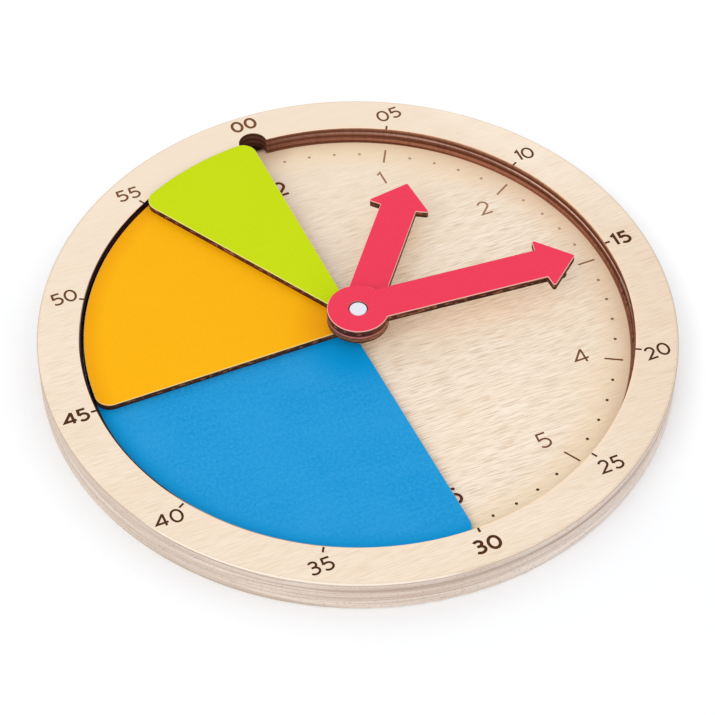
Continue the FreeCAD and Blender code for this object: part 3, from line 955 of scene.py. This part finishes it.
def zinc_plate_finish():
    """Zinc-plated steel: blue-grey, with turning marks round the axis and small dull spots."""
    material, tree, shader = new_finish("zinc_plated_steel")
    spots = stretched_noise(tree, (700, 700, 700), (0, 0, 0), 3.0)
    colour = between(tree, step(tree, spots, 0.4, 0.7), ZINC, ZINC_SPOT)
    feed(shader.inputs["Base Color"], colour)
    shader.inputs["Metallic"].default_value = 1.0
    turning = worked_out(tree, "SINE", times(tree, distance_from_axis(tree), 40.0))
    fine_surface(tree, shader, plus(tree, times(tree, turning, 0.3), spots), 0.008)
    uneven_gloss(tree, shader, 0.3, spots, 0.2)
    return material


zinc = zinc_plate_finish()
finish_node("back_washer", zinc)
finish_node("back_screw", zinc)


# ---------------------------------------------------------------------------------------------------------
# Studio. The clock lies on a seamless white table, whose glow is raised towards the back as painted light
# and lowered round the clock as a painted contact shadow. One broad lamp at its front left and an even, dim
# sky of white cloth light it. The camera stands in front and a little to the left, and looks down at the
# dial.
# ---------------------------------------------------------------------------------------------------------
TABLE_SIZE = 3.0
TABLE_DROP = 0.2 * MM
TABLE_GREY = (0.825, 0.84, 0.86)
TABLE_GLOW = 0.165
BACK_PAINTED_LIGHT = 0.075
BEHIND_FROM = -0.07
BEHIND_TO = 0.14
CONTACT_SHADOW_DIP = 0.05
CLOSE_FROM = 150.0
CLOSE_TO = 166.0
SKY_LIGHT = 0.85
LAMP_WATTS = 21.0
LAMP_SIDE = 1.9
LAMP_PLACE = (-1.6, -1.1, 2.2)
CAMERA_PLACE = (-0.33365, -0.74239, 0.94742)
CAMERA_HEADING = 24.195
CAMERA_DIP = 49.528
CAMERA_ROLL = 0.629
CAMERA_LENS = 132.74
CAMERA_SENSOR = 36.0
CAMERA_SIGHT = 20.0


def seen_directly(tree):
    """1 for what the camera sees straight, mirrored or through glass, 0 for light that falls on things."""
    path = tree.nodes.new("ShaderNodeLightPath")
    direct = worked_out(tree, "MAXIMUM", path.outputs["Is Camera Ray"], path.outputs["Is Glossy Ray"])
    return worked_out(tree, "MAXIMUM", direct, path.outputs["Is Transmission Ray"])


def table_finish():
    """Matt white, with a faint glow of its own that only the camera sees."""
    material, tree, shader = new_finish("white_table")
    shader.inputs["Base Color"].default_value = (*TABLE_GREY, 1)
    shader.inputs["Roughness"].default_value = 0.9
    shader.inputs["Specular IOR Level"].default_value = 0.0
    right, ahead, _ = place_on_board(tree)
    # Painted light towards the back, and a painted contact shadow round the clock.
    behind = step(tree, plus(tree, right, ahead), BEHIND_FROM, BEHIND_TO)
    contact_shadow = step(tree, distance_from_axis(tree), CLOSE_TO, CLOSE_FROM)
    strength = plus(tree, TABLE_GLOW, times(tree, behind, BACK_PAINTED_LIGHT))
    strength = less(tree, strength, times(tree, contact_shadow, CONTACT_SHADOW_DIP))
    glow = tree.nodes.new("ShaderNodeEmission")
    feed(glow.inputs["Strength"], times(tree, seen_directly(tree), strength))
    both = tree.nodes.new("ShaderNodeAddShader")
    feed(both.inputs[0], shader.outputs[0])
    feed(both.inputs[1], glow.outputs[0])
    feed(tree.nodes["Material Output"].inputs["Surface"], both.outputs[0])
    return material


table_shape = bmesh.new()
bmesh.ops.create_grid(table_shape, x_segments=4, y_segments=4, size=TABLE_SIZE)
table_mesh = bpy.data.meshes.new("studio_table")
table_shape.to_mesh(table_mesh)
table_shape.free()
table_mesh.materials.append(table_finish())
table = bpy.data.objects.new("studio_table", table_mesh)
table.location.z = -TABLE_DROP
bpy.context.scene.collection.objects.link(table)

world = bpy.data.worlds.new("studio_sky")
bpy.context.scene.world = world
world.use_nodes = True
sky_tree = world.node_tree
sky = sky_tree.nodes["Background"]
sky.inputs["Color"].default_value = (1, 1, 1, 1)
lift = times(sky_tree, seen_directly(sky_tree), 1.0 - SKY_LIGHT)
feed(sky.inputs["Strength"], plus(sky_tree, lift, SKY_LIGHT))

lamp_data = bpy.data.lights.new("softbox", "AREA")
lamp_data.shape = "RECTANGLE"
lamp_data.size = LAMP_SIDE
lamp_data.size_y = LAMP_SIDE
lamp_data.energy = LAMP_WATTS
lamp = bpy.data.objects.new("softbox", lamp_data)
bpy.context.scene.collection.objects.link(lamp)
lamp.location = LAMP_PLACE
lamp.rotation_euler = (-Vector(LAMP_PLACE)).to_track_quat("-Z", "Y").to_euler()

camera_data = bpy.data.cameras.new("camera")
camera_data.sensor_width = CAMERA_SENSOR
camera_data.lens = CAMERA_LENS
camera_data.clip_end = CAMERA_SIGHT
camera = bpy.data.objects.new("camera", camera_data)
bpy.context.scene.collection.objects.link(camera)
level = Euler((math.radians(90 - CAMERA_DIP), 0, math.radians(-CAMERA_HEADING))).to_matrix()
tilt = Matrix.Rotation(math.radians(CAMERA_ROLL), 3, "Z")
camera.matrix_world = Matrix.Translation(CAMERA_PLACE) @ (level @ tilt).to_4x4()
bpy.context.scene.camera = camera
bpy.context.scene.view_settings.view_transform = "Standard"
